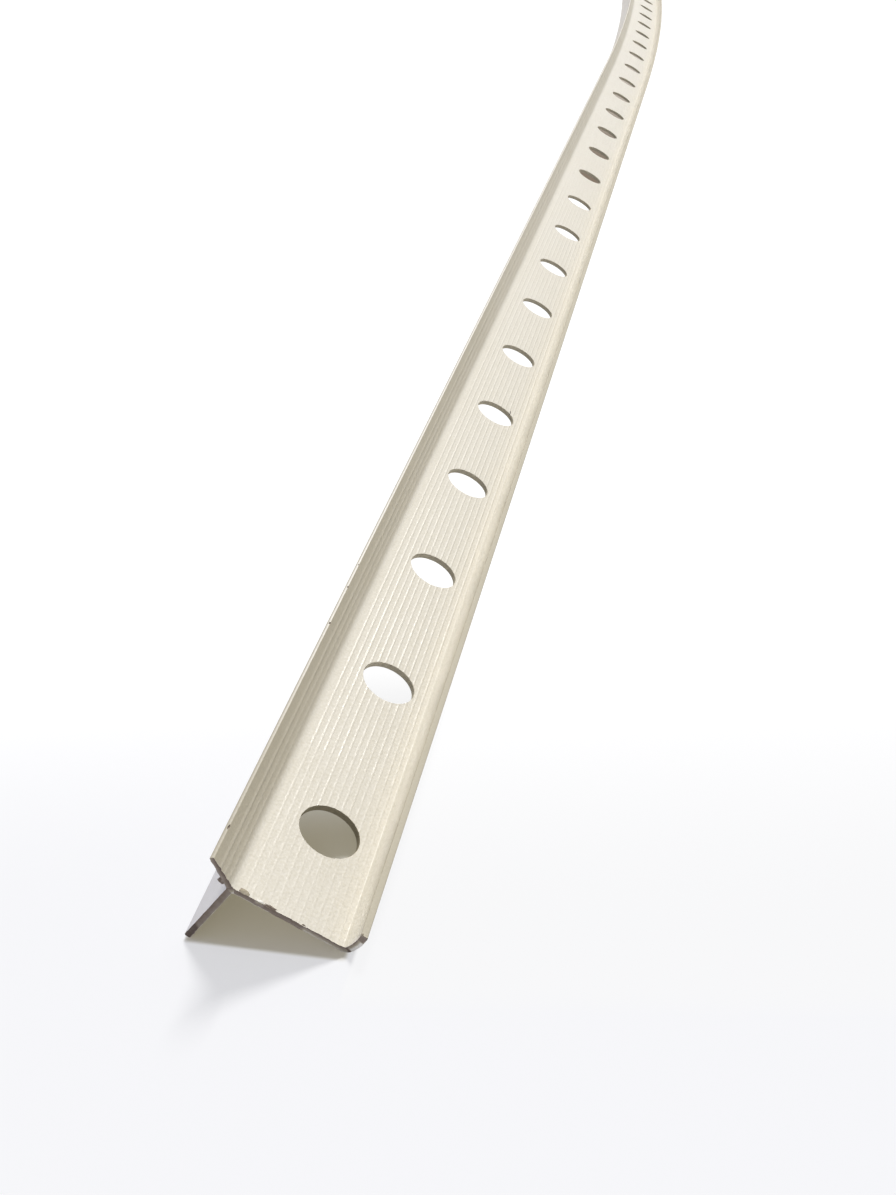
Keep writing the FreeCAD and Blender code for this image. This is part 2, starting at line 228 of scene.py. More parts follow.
def drawSection(mesh):
    half = bead["wall"] / 2
    step = bead["wallStep"]
    rightward = Vector((1, 0, 0))
    upward = Vector((0, 0, 1))
    bendAcross, bendUp = bendPlace()
    bendCentre = Vector((bendAcross, 0, bendUp))
    lipTurn = math.degrees(bead["lipLength"] / bead["lipRadius"])
    curlCentre = bendCentre - direction(bead["lipAngle"] - 90) * (bead["lipRadius"] - bendUp)
    lipOut = direction(bead["lipAngle"] + lipTurn - 90)
    wingLeftTip, wingLeftAlong, wingRightTip, wingRightAlong = limbLines(
        -bead["wingAngle"], bead["wingWidth"], bead["wingWall"], bead["wingWall"])
    noseLeftTip, noseLeftAlong, noseRightTip, noseRightAlong = limbLines(
        bead["noseAngle"], bead["noseLength"], bead["noseRootWall"], bead["noseEdgeWall"])
    root = crossing(upward * half, rightward, noseRightTip, noseRightAlong)
    notch = crossing(noseLeftTip, noseLeftAlong, wingRightTip, wingRightAlong)
    armpit = crossing(upward * -half, rightward, wingLeftTip, wingLeftAlong)

    rootReach = bead["rootFillet"] / math.tan(rightward.angle(noseRightAlong) / 2)
    pen = Pen(mesh, root + rightward * rootReach)
    places = [ribs["first"] + ribs["pitch"] * number for number in range(ribs["count"])]
    ribRow(pen, upward * half, rightward, upward, places, ribs["height"], ribs["left"], ribs["right"])
    pen.line(Vector((bendAcross, 0, half)))
    pen.arc(bendCentre, bead["lipAngle"], 7)
    pen.arc(curlCentre, lipTurn, 9)
    lipCorners = [pen.tip, pen.line(curlCentre + lipOut * (bead["lipRadius"] + half))]
    pen.arc(curlCentre, -lipTurn, 9)
    pen.arc(bendCentre, -bead["lipAngle"], 7)
    pen.fillet(armpit, rightward, wingLeftAlong, bead["innerFillet"], 8, step)
    wingCorners = [pen.line(wingLeftTip, step), pen.line(wingRightTip)]
    pen.fillet(notch, wingRightAlong, noseLeftAlong, bead["notchFillet"], 5, step)
    noseCorners = [pen.line(noseLeftTip, step), pen.line(noseRightTip)]
    nosePlaces = [ribs["noseFirst"] + ribs["nosePitch"] * number for number in range(ribs["noseCount"])]
    ribRow(pen, noseRightTip, -noseRightAlong, -leftOf(noseRightAlong),
           sorted(bead["noseLength"] - place for place in nosePlaces),
           ribs["noseHeight"], ribs["noseHalf"], ribs["noseHalf"])
    pen.fillet(root, noseRightAlong, rightward, bead["rootFillet"], 8, step)
    return lipCorners + wingCorners + noseCorners


def standing():
    # how far the flange slopes, and how high the corner stands, on the wing's edge and the lip's bend
    wing = math.radians(bead["wingAngle"])
    footAcross = bead["wingWidth"] * math.cos(wing) + bead["wingWall"] / 2 * math.sin(wing)
    footUp = bead["wingWall"] / 2 * math.cos(wing) - bead["wingWidth"] * math.sin(wing)
    bendAcross, bendUp = bendPlace()
    span = math.hypot(bendAcross - footAcross, bendUp - footUp)
    slope = (math.atan2(bendUp - footUp, bendAcross - footAcross)
             - math.asin((bead["bendRadius"] + bead["wall"]) / span))
    return slope, footAcross * math.sin(slope) - footUp * math.cos(slope)


slope, cornerHeight = standing()
acrossAxis = Vector((math.cos(slope), 0, -math.sin(slope)))
upAxis = Vector((math.sin(slope), 0, math.cos(slope)))
corner = Vector((0, 0, cornerHeight))


def onBead(across, along, up):                     # a point by the section's own axes
    return corner + acrossAxis * across + upAxis * up + Vector((0, along, 0))


def sectionPlace(point):                           # and back
    return (point - corner).dot(acrossAxis), (point - corner).dot(upAxis)


def tipOver(mesh):                                 # sets what was drawn level on the sloping bead
    bmesh.ops.rotate(mesh, verts=mesh.verts, cent=(0, 0, 0), matrix=Matrix.Rotation(slope, 3, "Y"))
    bmesh.ops.translate(mesh, verts=mesh.verts, vec=corner)


def sawPlane(depth=0.0):
    across = math.tan(math.radians(sawCut["slantAcross"]))
    up = math.tan(math.radians(sawCut["slantUp"]))
    normal = acrossAxis * across + upAxis * up + Vector((0, 1, 0))
    setback = across * (bead["flangeWidth"] + bead["wall"]) + up * (bead["lipLength"] + bead["wall"])
    return onBead(0, setback + sawCut["inset"] + depth, 0), normal.normalized()


def sawnAlong(across, up):                         # how far along the bead the cut is, in the section
    place, normal = sawPlane()
    return place.y - (onBead(across, place.y, up) - place).dot(normal) / normal.y


def cutAcross(mesh, place, normal, clear=False):
    parts = mesh.verts[:] + mesh.edges[:] + mesh.faces[:]
    return bmesh.ops.bisect_plane(mesh, geom=parts, dist=0.00001, plane_co=place, plane_no=normal,
                                  clear_inner=clear)


def raggedEnd(mesh):
    # saws the near end off, and leaves its rim uneven and a little burred
    place, normal = sawPlane()
    cut = cutAcross(mesh, place, normal, True)
    rim = [item for item in cut["geom_cut"] if isinstance(item, bmesh.types.BMEdge)]
    bmesh.ops.contextual_create(mesh, geom=rim)
    bmesh.ops.recalc_face_normals(mesh, faces=mesh.faces)
    for depth in sawCut["rings"]:
        ringPlace, ringNormal = sawPlane(depth)
        cutAcross(mesh, ringPlace, ringNormal)
    end = [face for face in mesh.faces if abs(face.normal.dot(normal)) > 0.99    # the sawn face
           and abs((face.calc_center_median() - place).dot(normal)) < 0.01]
    inset = bmesh.ops.inset_region(mesh, faces=end, thickness=sawCut["rim"], use_even_offset=True)
    for face in end + inset["faces"]:
        face.material_index = slots["sawn"]
    mesh.normal_update()
    outline = set(vert for face in inset["faces"] for vert in face.verts)
    inside = set(vert for face in end for vert in face.verts)
    for vert in outline - inside:
        point = vert.co.copy()
        fine = sawCut["raggedFine"] * noise.noise(point * sawCut["raggedFineScale"])
        vert.co.y += sawCut["ragged"] * (noise.noise(point * sawCut["raggedScale"]) + fine)
        lift = max(0.0, noise.noise(point * sawCut["burrScale"] + Vector(sawCut["burrPlace"])))
        outward = Vector((vert.normal.x, 0, vert.normal.z))
        if outward.length > 0.1:                   # not where the rim faces straight along the bead
            vert.co += outward.normalized() * sawCut["burr"] * lift
    for vert in inside:
        uneven = noise.noise(vert.co * sawCut["dishedScale"])
        vert.co.y += sawCut["dished"] + sawCut["dishedUneven"] * uneven


# Torn lumps on the sawn rim: place across and up in the section, size across, along and up, and smear
burrs = {
    "flangeRoot": ((1.8, 0.58), (1.7, 0.9, 0.3), 0.42),
    "flangeRootEnd": ((2.35, 0.58), (0.8, 0.6, 0.36), 0.42),
    "edgeLip": ((4.4, 0.57), (1.1, 0.5, 0.2), -0.3),
    "edgeFringe": ((6.1, 0.55), (2.4, 0.5, 0.24), 0.85),
    "noseSide": ((-1.8, 0.72), (0.9, 0.5, 0.9), 0.8),
    "noseRoot": ((-1.5, 0.42), (0.6, 0.4, 0.5), 0.7),
    "flangeStep": ((11.5, 0.5), (0.8, 0.35, 0.25), 0.9),
    "wingFoot": ((-1.15, -13.6), (0.4, 0.45, 2.4), 1.0),
    "lipTip": ((18.95, 5.2), (0.35, 0.4, 0.3), 0.5),
}

# What every lump has alike
lumps = {
    "uneven": 0.5,
    "scale": 2.6,
    "sunk": 0.35,            # share of its size that its middle lies behind the cut
    "smearAcross": 0.7,      # how near its middle the cut takes its smear, as shares of its size
    "smearUp": 0.8,
    "proud": 0.04,           # and how far out of the limb's own face
}

# Nicks in edges: place across, along and up, size, and turn about the flange's own normal
chips = {
    "firstOnNose": ((-4.35, 7.3, 4.75), (0.4, 1.2, 0.5), 0),
    "secondOnNose": ((-4.3, 61.8, 4.75), (0.4, 0.9, 0.5), 0),
    "thirdOnNose": ((-4.3, 74.3, 4.75), (0.35, 0.8, 0.45), 0),
    "fourthOnNose": ((-4.3, 82.5, 4.75), (0.3, 0.6, 0.35), 0),
    "spurAtHole": ((13.43, 184.4, 0.5), (0.25, 2.4, 0.5), 2),
}


def lump(mesh, place, size, turn=0.0):
    # an uneven little ball at a place on the bead
    made = bmesh.ops.create_icosphere(mesh, subdivisions=2, radius=0.5)
    for vert in made["verts"]:
        vert.co *= 1 + lumps["uneven"] * noise.noise(vert.co * lumps["scale"] + place)
    bmesh.ops.scale(mesh, verts=made["verts"], vec=size)
    bmesh.ops.rotate(mesh, verts=made["verts"], cent=(0, 0, 0),
                     matrix=Matrix.Rotation(slope, 3, "Y") @ Matrix.Rotation(math.radians(turn), 3, "Z"))
    bmesh.ops.translate(mesh, verts=made["verts"], vec=place)


def tornLumps(mesh):
    for (across, up), size, _ in burrs.values():
        lump(mesh, onBead(across, sawnAlong(across, up) + size[1] * lumps["sunk"], up), size)
    for face in mesh.faces:
        face.material_index = slots["sawn"]


def nicks(mesh):
    for (across, along, up), size, turn in chips.values():
        lump(mesh, onBead(across, along, up), size, turn)
    for face in mesh.faces:
        face.material_index = slots["sawn"]


# Punch: straight, with a flare that rolls the hole's upper rim over. The flare's points are measured out
# from the hole's wall and up from the flange's top
puncher = {
    "flare": ((0.0, -0.1), (0.03, -0.03), (0.07, 0.005), (0.3, 0.25)),
    "steps": 56,
}


def punch(mesh):
    # the first one of the row
    radius, top = bead["holeDiameter"] / 2, bead["wall"] / 2
    flare = [(radius + out, top + up) for out, up in puncher["flare"]]
    profile = [(0, -2 * top), (radius, -2 * top)] + flare + [(0, flare[-1][1])]
    centre = Vector((bead["holeOffset"], bead["firstHole"], 0))
    verts = [mesh.verts.new(centre + Vector((out, 0, up))) for out, up in profile]
    edges = [mesh.edges.new(pair) for pair in zip(verts[:-1], verts[1:])]
    bmesh.ops.spin(mesh, geom=verts + edges, cent=centre, axis=(0, 0, 1), angle=math.tau,
                   steps=puncher["steps"], use_merge=True)
    bmesh.ops.remove_doubles(mesh, verts=mesh.verts, dist=sectionWeld)
    bmesh.ops.recalc_face_normals(mesh, faces=mesh.faces)
    for face in mesh.faces:
        face.material_index = slots["punched"]
    tipOver(mesh)


def punchRow():
    row = newObject("punches", punch)
    step = row.modifiers.new("row", "ARRAY")
    step.count = int((bead["length"] - bead["endMargin"] - bead["firstHole"]) / bead["holePitch"]) + 1
    step.use_relative_offset = False
    step.use_constant_offset = True
    step.constant_offset_displace = (0, bead["holePitch"], 0)
    return row


def newObject(name, build, *materials):
    mesh = bmesh.new()
    build(mesh)
    data = bpy.data.meshes.new(name)
    mesh.to_mesh(data)
    mesh.free()
    made = bpy.data.objects.new(name, data)
    bpy.context.scene.collection.objects.link(made)
    for material in materials:
        made.data.materials.append(material)
    return made


def combine(target, tool, operation):
    step = target.modifiers.new(tool.name, "BOOLEAN")
    step.object = tool
    step.operation = operation
    step.solver = "MANIFOLD"
    depsgraph = bpy.context.evaluated_depsgraph_get()
    result = bpy.data.meshes.new_from_object(target.evaluated_get(depsgraph))
    target.modifiers.clear()
    target.data = result
    bpy.data.objects.remove(tool)


def bend(point, farLine, farEnd):
    # from the straight bead, y from its near end, to its bowed place in the frame
    left = bead["length"] - point.y
    farRun = bead["length"] - bead["nearRun"] - bead["bowRun"]
    radius = bead["bowRadius"]
    turn = min(max(0.0, left - farRun), bead["bowRun"]) / radius
    out = Vector((math.cos(turn), -math.sin(turn), 0))
    back = Vector((-math.sin(turn), -math.cos(turn), 0))
    straight = left - min(left, farRun) - turn * radius
    centre = Vector((farLine - radius, farEnd - min(left, farRun), 0))
    return centre + out * (radius + point.x) + back * straight + Vector((0, 0, point.z))


def shapeBead(mesh):
    corners = drawSection(mesh)
    bmesh.ops.remove_doubles(mesh, verts=mesh.verts, dist=sectionWeld)
    bmesh.ops.contextual_create(mesh, geom=mesh.edges[:])
    tipOver(mesh)
    bead["reach"] = max(vert.co.x for vert in mesh.verts)        # from the corner's line to the lip's side
    bmesh.ops.bevel(mesh, geom=corners, offset=bead["edgeRound"], affect="VERTICES", segments=8,
                    profile=0.5, material=-1)
    grown = bmesh.ops.extrude_face_region(mesh, geom=mesh.faces[:])
    far = [item for item in grown["geom"] if isinstance(item, bmesh.types.BMVert)]
    bmesh.ops.translate(mesh, verts=far, vec=(0, bead["length"], 0))
    bmesh.ops.recalc_face_normals(mesh, faces=mesh.faces)
    raggedEnd(mesh)
    ends = [face for face in mesh.faces if len(face.verts) > 60]    # all other faces have a few corners
    bmesh.ops.triangulate(mesh, faces=ends)


class Wire:
    # wraps a shader socket, so that a sum of sockets is written as a sum
    def __init__(self, tree, socket=None):
        self.tree = tree
        self.socket = socket

    def node(self, kind, settings=None, values=None, out=0):
        made = self.tree.nodes.new(kind)
        for name, value in (settings or {}).items():
            if name == "stops":
                ramp = made.color_ramp.elements
                while len(ramp) < len(value):
                    ramp.new(0.5)
                for stop, (position, colour) in zip(ramp, value):
                    stop.position = position
                    stop.color = colour
            else:
                setattr(made, name, value)
        for name, value in (values or {}).items():
            if isinstance(value, Wire):
                self.tree.links.new(value.socket, made.inputs[name])
            else:
                made.inputs[name].default_value = value
        return Wire(self.tree, made.outputs[out])

    def maths(self, operation, first, second):
        return self.node("ShaderNodeMath", {"operation": operation}, {0: first, 1: second})

    def clamped(self):
        return self.node("ShaderNodeMath", {"operation": "ADD", "use_clamp": True}, {0: self, 1: 0.0})

    def __add__(self, other):
        return self.maths("ADD", self, other)

    def __radd__(self, other):
        return self.maths("ADD", other, self)

    def __sub__(self, other):
        return self.maths("SUBTRACT", self, other)

    def __rsub__(self, other):
        return self.maths("SUBTRACT", other, self)

    def __mul__(self, other):
        return self.maths("MULTIPLY", self, other)

    def __rmul__(self, other):
        return self.maths("MULTIPLY", other, self)

    def mix(self, first, second):                  # two colours, by this wire as the share of the second
        return self.node("ShaderNodeMix", {"data_type": "RGBA"}, {0: self, 6: first, 7: second}, 2)


white = (1.0, 1.0, 1.0, 1.0)


def colour(red, green, blue):
    # a colour as a paint program gives it, 0 to 255, turned to the linear one that shaders take
    def linear(value):
        share = value / 255
        return share / 12.92 if share <= 0.04045 else ((share + 0.055) / 1.055) ** 2.4
    return linear(red), linear(green), linear(blue), 1.0


def newMaterial(name):
    material = bpy.data.materials.new(name)
    material.use_nodes = True
    tree = material.node_tree
    tree.nodes.clear()
    return material, Wire(tree)


def sendOut(shader, kind="ShaderNodeOutputMaterial"):
    output = shader.tree.nodes.new(kind)
    shader.tree.links.new(shader.socket, output.inputs["Surface"])


def finishMaterial(wire, base, roughness, bump):
    sendOut(wire.node("ShaderNodeBsdfPrincipled", None,
                      {"Base Color": base, "Roughness": roughness, "Normal": bump}))


# Ivory plastic: satin, with faint streaks along the bead and a fine grain, and painted highlights and painted
# shade from the crest and shade attributes
ivory = {
    "light": colour(229, 223, 209),
    "deep": colour(214, 207, 189),
    # painted light colours: crest is a highlight for the ribs' crests and the nose's edge, foot a shade for
    # the ribs' right feet
    "crest": colour(248, 243, 232),
    "foot": colour(180, 173, 155),
    # shade is the grey painted shade, cool the cool painted shade of the wing's outer side
    "shade": colour(171, 162, 138),
    "cool": colour(193, 189, 182),
    "streakScale": 700.0,
    "streakLength": 0.008,   # how slowly streaks change along the bead, against across it
    "cloudScale": 55.0,
    "grainScale": 2200.0,
    "streaks": 0.5,          # how much each mottles the colour, and how much of it stays light
    "clouds": 0.5,
    "grain": 2.0,
    "kept": 1.15,
    "crestShare": 0.12,
    "footShare": 0.42,
    "roughness": 0.24,
    "cloudRoughness": 0.16,
    # rougher where the painted shade lies, which damps the bend's highlight
    "shadedRoughness": 0.5,
    "relief": 0.16,
    "reliefDepth": 0.0004,
    "streakRelief": 0.6,
}


def ivoryPlastic():
    material, wire = newMaterial("ivoryPlastic")
    straight = wire.node("ShaderNodeAttribute", {"attribute_name": "straight"}, None, 1)
    crest = wire.node("ShaderNodeAttribute", {"attribute_name": "crest"}, None, 2)
    shade = wire.node("ShaderNodeAttribute", {"attribute_name": "shade"}, None, 2)
    stretched = wire.node("ShaderNodeMapping", None,
                          {"Vector": straight, "Scale": (1.0, ivory["streakLength"], 1.0)})
    streaks = wire.node("ShaderNodeTexNoise", None, {
        "Vector": stretched, "Scale": ivory["streakScale"], "Detail": 3.0, "Roughness": 0.6})
    clouds = wire.node("ShaderNodeTexNoise", None,
                       {"Vector": straight, "Scale": ivory["cloudScale"], "Detail": 4.0})
    grain = wire.node("ShaderNodeTexNoise", None,
                      {"Vector": straight, "Scale": ivory["grainScale"], "Detail": 2.0})
    mottled = streaks * ivory["streaks"] + clouds * ivory["clouds"] + grain * ivory["grain"]
    base = (mottled - ivory["kept"]).clamped().mix(ivory["light"], ivory["deep"])
    # painted light: a highlight on the crests, shade at the ribs' right feet, grey painted shade, and below 0
    # a cool painted shade
    base = (crest * ivory["crestShare"]).clamped().mix(base, ivory["crest"])
    base = (crest * -ivory["footShare"]).clamped().mix(base, ivory["foot"])
    base = shade.clamped().mix(base, ivory["shade"])
    base = (shade * -1.0).clamped().mix(base, ivory["cool"])
    roughness = ivory["roughness"] + clouds * ivory["cloudRoughness"]
    roughness = roughness + shade.clamped() * ivory["shadedRoughness"]
    bump = wire.node("ShaderNodeBump", None, {
        "Strength": ivory["relief"], "Distance": ivory["reliefDepth"],
        "Height": grain + streaks * ivory["streakRelief"]})
    finishMaterial(wire, base, roughness, bump)
    return material


# Sawn end: clean ivory where the saw left no smear, greyer and then dark brown with more of it
sawn = {
    # the clean stop is the cut's own pale colour, lifted above the ivory faces' as painted light on edges
    # that face away from the lamp
    "stops": ((0.0, colour(248, 244, 234)), (0.3, colour(180, 171, 154)), (0.46, colour(164, 153, 130)),
              (0.58, colour(150, 138, 128)), (0.8, colour(124, 110, 97)), (1.0, colour(94, 81, 72))),
    "scale": 700.0,
    "wander": 0.35,          # how much the smear's edge wanders
    "roughness": 0.7,
    "roughnessWander": 0.2,
    "relief": 0.5,
    "reliefDepth": 0.0002,
}


def sawnPlastic():
    material, wire = newMaterial("sawnPlastic")
    place = wire.node("ShaderNodeTexCoord", None, None, 3)
    smear = wire.node("ShaderNodeAttribute", {"attribute_name": "smear"}, None, 2)
    coarse = wire.node("ShaderNodeTexNoise", None, {"Vector": place, "Scale": sawn["scale"], "Detail": 4.0})
    share = (smear + (coarse - 0.5) * sawn["wander"]).clamped()
    base = wire.node("ShaderNodeValToRGB", {"stops": sawn["stops"]}, {0: share})
    bump = wire.node("ShaderNodeBump", None, {
        "Strength": sawn["relief"], "Distance": sawn["reliefDepth"], "Height": coarse})
    finishMaterial(wire, base, sawn["roughness"] + coarse * sawn["roughnessWander"], bump)
    return material


# Punched walls of the holes: a little darker than the faces, and darkest in the first hole
punched = {
    "clean": colour(214, 206, 186),
    "spotted": colour(186, 177, 156),
    "first": colour(146, 137, 114),
    "firstTo": 30.0,         # along the bead, between the first hole and the second
    "restFrom": 60.0,
    "scale": 1500.0,
    "spotsFrom": 0.35,       # how much of the spots' noise is clean, and how fast they get dark
    "spotsEdge": 1.8,
    "roughness": 0.5,
    "roughnessWander": 0.3,
    "relief": 0.4,
    "reliefDepth": 0.0001,
}


def punchedPlastic():
    material, wire = newMaterial("punchedPlastic")
    place = wire.node("ShaderNodeTexCoord", None, None, 3)
    spots = wire.node("ShaderNodeTexNoise", None, {"Vector": place, "Scale": punched["scale"], "Detail": 3.0})
    dirty = ((spots - punched["spotsFrom"]) * punched["spotsEdge"]).clamped()
    straight = wire.node("ShaderNodeAttribute", {"attribute_name": "straight"}, None, 1)
    along = wire.node("ShaderNodeSeparateXYZ", None, {0: straight}, 1)
    rest = wire.node("ShaderNodeMapRange", None,
                     {0: along, 1: punched["firstTo"] * mm, 2: punched["restFrom"] * mm})
    base = rest.mix(punched["first"], dirty.mix(punched["clean"], punched["spotted"]))
    bump = wire.node("ShaderNodeBump", None, {
        "Strength": punched["relief"], "Distance": punched["reliefDepth"], "Height": spots})
    finishMaterial(wire, base, punched["roughness"] + spots * punched["roughnessWander"], bump)
    return material


def smearAt(point):
    # how smeared the sawn face is at this point of its outline: each limb has a value for its two sides
    across, up = sectionPlace(point)
    here = Vector((across, 0, up))
    wing, nose = direction(-bead["wingAngle"]), direction(bead["noseAngle"])
    reach = {"wing": here.dot(wing), "nose": here.dot(nose), "flange": across}
    limb = max(reach, key=reach.get)
    fromMiddle = {"wing": here.dot(leftOf(wing)), "nose": here.dot(leftOf(nose)), "flange": up}[limb]
    half = bead["wall"] / 2
    proud = abs(fromMiddle) > half + lumps["proud"]
    for (lumpAcross, lumpUp), size, smear in burrs.values():
        aside = abs(across - lumpAcross) < size[0] * lumps["smearAcross"]
        if proud and aside and abs(up - lumpUp) < size[2] * lumps["smearUp"]:
            return smear
    if limb == "wing":
        if fromMiddle > bead["wingWall"] / 2 - sawCut["skin"]:
            return sawCut["wingSkinSmear"]
        if here.dot(wing) > sawCut["wingFoot"]:
            return sawCut["wingFootSmear"]
        inner, outer = sawCut["wingSmear"]
        return inner if fromMiddle > 0 else outer
    if limb == "nose":
        inner, outer = sawCut["noseSmear"]
        return outer if fromMiddle > 0 else inner
    bendAcross, bendUp = bendPlace()
    fromBend = here - Vector((bendAcross, 0, bendUp))
    if across > bendAcross and fromBend.dot(direction(bead["lipAngle"])) > sawCut["lipFrom"]:
        inner, outer = sawCut["lipSmear"]
        return inner if fromBend.dot(direction(bead["lipAngle"] - 90)) < bendUp else outer
    if up > 0 and sawCut["chip"][0] < across < sawCut["chip"][1]:
        return sawCut["chipSmear"]
    if up < sawCut["skin"] - half and across < sawCut["underClean"]:
        return 0.0
    top, under = sawCut["flangeSmear"] if across < sawCut["outerFlange"] else sawCut["outerFlangeSmear"]
    return top if up > 0 else under


# Painted shade: grey in the nose's fold, over the bend and towards the lip's edge, and a cooler painted shade
# on the wing's outer side
paintedShade = {
    "nose": 0.6,
    "noseFrom": 0.5,         # along the nose, from the corner
    "noseTo": 1.5,
    "noseOuter": 0.16,       # and how much more it is at the nose's edge
    "noseOuterTo": 5.4,
    "noseFlutes": 0.07,      # and how much less on each of its ribs, painted light and shade on the flutes
    "noseFade": 0.42,        # share that it loses along the bead
    "noseFadeFrom": 20.0,
    "noseFadeTo": 320.0,
    "noseEdge": 0.12,        # how far down the nose its rounded edge reaches
    "noseMiddle": 0.1,       # across that edge, where its outer side begins
    "noseOutside": 0.9,      # that outer side, and the inner side at the near end
    "noseInside": 0.6,
    "highlightFrom": 10.0,       # along the bead, where the inner side loses its painted shade, and gets a painted highlight as pale as this many ribs
    "highlightTo": 75.0,
    "edgeHighlight": 4.0,
    "lipZone": 1.0,          # across, how far before the flange's end the lip's painted shade may begin
    # painted shade over the bend, which damps its highlight
    "bend": 0.6,
    "bendFrom": 0.3,         # along the lip, from the corner of the bend
    "bendTo": 0.75,
    "lip": 0.42,
    "lipFrom": 1.4,
    "lipTo": 4.7,
    "lipFade": 0.8,          # share that it loses along the bead
    "lipFadeFrom": 120.0,
    "lipFadeTo": 420.0,
    "lipEdge": 0.72,
    "wing": -1.0,            # below 0 it is a cool painted shade, and it gets warmer along the bead
    "wingFar": 0.3,
    "wingFrom": 100.0,
    "wingTo": 420.0,
}


def between(value, low, high):
    return min(max(0.0, (value - low) / (high - low)), 1.0)


def onNoseEdge(point):
    across, up = sectionPlace(point)
    alongNose = Vector((across, 0, up)).dot(direction(bead["noseAngle"]))
    return alongNose > bead["noseLength"] - paintedShade["noseEdge"]


def paintedShadeAt(point):
    # how much painted shade this point takes, and below 0 how much cool painted shade
    across, up = sectionPlace(point)
    here = Vector((across, 0, up))
    nose, wing = direction(bead["noseAngle"]), direction(-bead["wingAngle"])
    alongNose, outward = here.dot(nose), here.dot(leftOf(nose))
    if onNoseEdge(point):
        if outward > paintedShade["noseMiddle"]:
            return paintedShade["noseOutside"]
        return paintedShade["noseInside"] * (1 - between(point.y, paintedShade["highlightFrom"], paintedShade["highlightTo"]))
    if alongNose > paintedShade["noseFrom"] and outward < paintedShade["noseMiddle"]:
        grey = paintedShade["nose"] * between(alongNose, paintedShade["noseFrom"], paintedShade["noseTo"])
        grey += paintedShade["noseOuter"] * between(alongNose, paintedShade["noseTo"], paintedShade["noseOuterTo"])
        grey *= 1 - paintedShade["noseFade"] * between(point.y, paintedShade["noseFadeFrom"], paintedShade["noseFadeTo"])
        if alongNose > paintedShade["noseTo"]:
            turn = math.tau * (alongNose - ribs["noseFirst"]) / ribs["nosePitch"]
            grey -= paintedShade["noseFlutes"] * math.cos(turn)
        return grey
    if here.dot(wing) > 0 and here.dot(leftOf(wing)) < 0:
        far = between(point.y, paintedShade["wingFrom"], paintedShade["wingTo"])
        return paintedShade["wing"] + (paintedShade["wingFar"] - paintedShade["wing"]) * far
    if across > bead["flangeWidth"] - paintedShade["lipZone"]:
        alongLip = (here - Vector((bead["flangeWidth"], 0, 0))).dot(direction(bead["lipAngle"]))
        if paintedShade["bendFrom"] < alongLip < paintedShade["bendTo"]:
            return paintedShade["bend"] * (1 - between(alongLip, paintedShade["bendFrom"], paintedShade["bendTo"]))
        if alongLip > paintedShade["lipTo"]:
            return paintedShade["lipEdge"]
        faded = 1 - paintedShade["lipFade"] * between(point.y, paintedShade["lipFadeFrom"], paintedShade["lipFadeTo"])
        return paintedShade["lip"] * between(alongLip, paintedShade["lipFrom"], paintedShade["lipTo"]) * faded
    return 0.0


def straighten(mesh, shortest=0.5, aside=0.002, level=0.001):
    # takes out the slanting edges that the punches left in the flat strips of the top, nose and lip: those
    # that run further along the bead than the shortest, lead aside, and have level faces on both sides
    slanting = []
    for edge in mesh.edges:
        run = edge.verts[1].co - edge.verts[0].co
        above = sectionPlace(edge.verts[0].co)[1] > 0
        slants = abs(run.y) > shortest and math.hypot(run.x, run.z) > aside
        if above and slants and edge.calc_face_angle(1) < level:
            slanting.append(edge)
    bmesh.ops.dissolve_edges(mesh, edges=slanting, use_verts=False)


def cutStretches(mesh):
    # cuts the long faces across, so that they take the bow, the ribs' wear, and the painted light and shade
    # along the bead
    along = bead["stretch"]
    while along < bead["length"] - 1:
        cutAcross(mesh, Vector((0, along, 0)), Vector((0, 1, 0)))
        along += bead["stretch"] if along < bead["nearRun"] + bead["bowRun"] else bead["farStretch"]


def ribHeight(point):
    # height above the flange's top, as a share of a whole rib's, and -1 off the ribbed strip
    across, up = sectionPlace(point)
    onStrip = ribs["strip"][0] < across < ribs["strip"][1]
    return (up - bead["wall"] / 2) / ribs["height"] if onStrip else -1.0


def smoothAndSharp(mesh):
    # smooth but for the sharp edges, and for the ribbed top, which keeps its flat faces between the ribs
    ribbed = set(vert for vert in mesh.verts if ribHeight(vert.co) > ribs["touched"][0])
    for face in mesh.faces:
        face.smooth = True
    for edge in mesh.edges:
        if len(edge.link_faces) == 2:
            flat = edge.verts[0] in ribbed and edge.verts[1] in ribbed
            edge.smooth = edge.calc_face_angle(0.0) < math.radians(bead["smoothUnder"]) and not flat


def lowerRibsAndPaintLight(mesh, crest):
    # lowers the ribs near the cut, and marks a painted highlight on their crests above 0 and a painted shade
    # at their right feet below; the nose's rounded edge gets a painted highlight
    for vert in mesh.verts:
        height = ribHeight(vert.co)
        if ribs["touched"][0] < height < ribs["touched"][1]:
            fromCrest = (sectionPlace(vert.co)[0] - ribs["first"]) % ribs["pitch"]
            risen = between(vert.co.y, ribs["rubbedTo"], ribs["fullFrom"])
            whole = ribs["rubbed"] + (1 - ribs["rubbed"]) * risen
            seen = whole * (1 - between(vert.co.y, ribs["fadeFrom"], ribs["fadeTo"]))
            atFoot = abs(fromCrest - ribs["right"]) < ribs["foot"]
            vert[crest] = -seen if atFoot else seen * max(0.0, height)
            vert.co -= upAxis * (max(0.0, height) * ribs["height"] * (1 - whole))
        elif onNoseEdge(vert.co):
            vert[crest] = paintedShade["edgeHighlight"] * between(vert.co.y, paintedShade["highlightFrom"], paintedShade["highlightTo"])


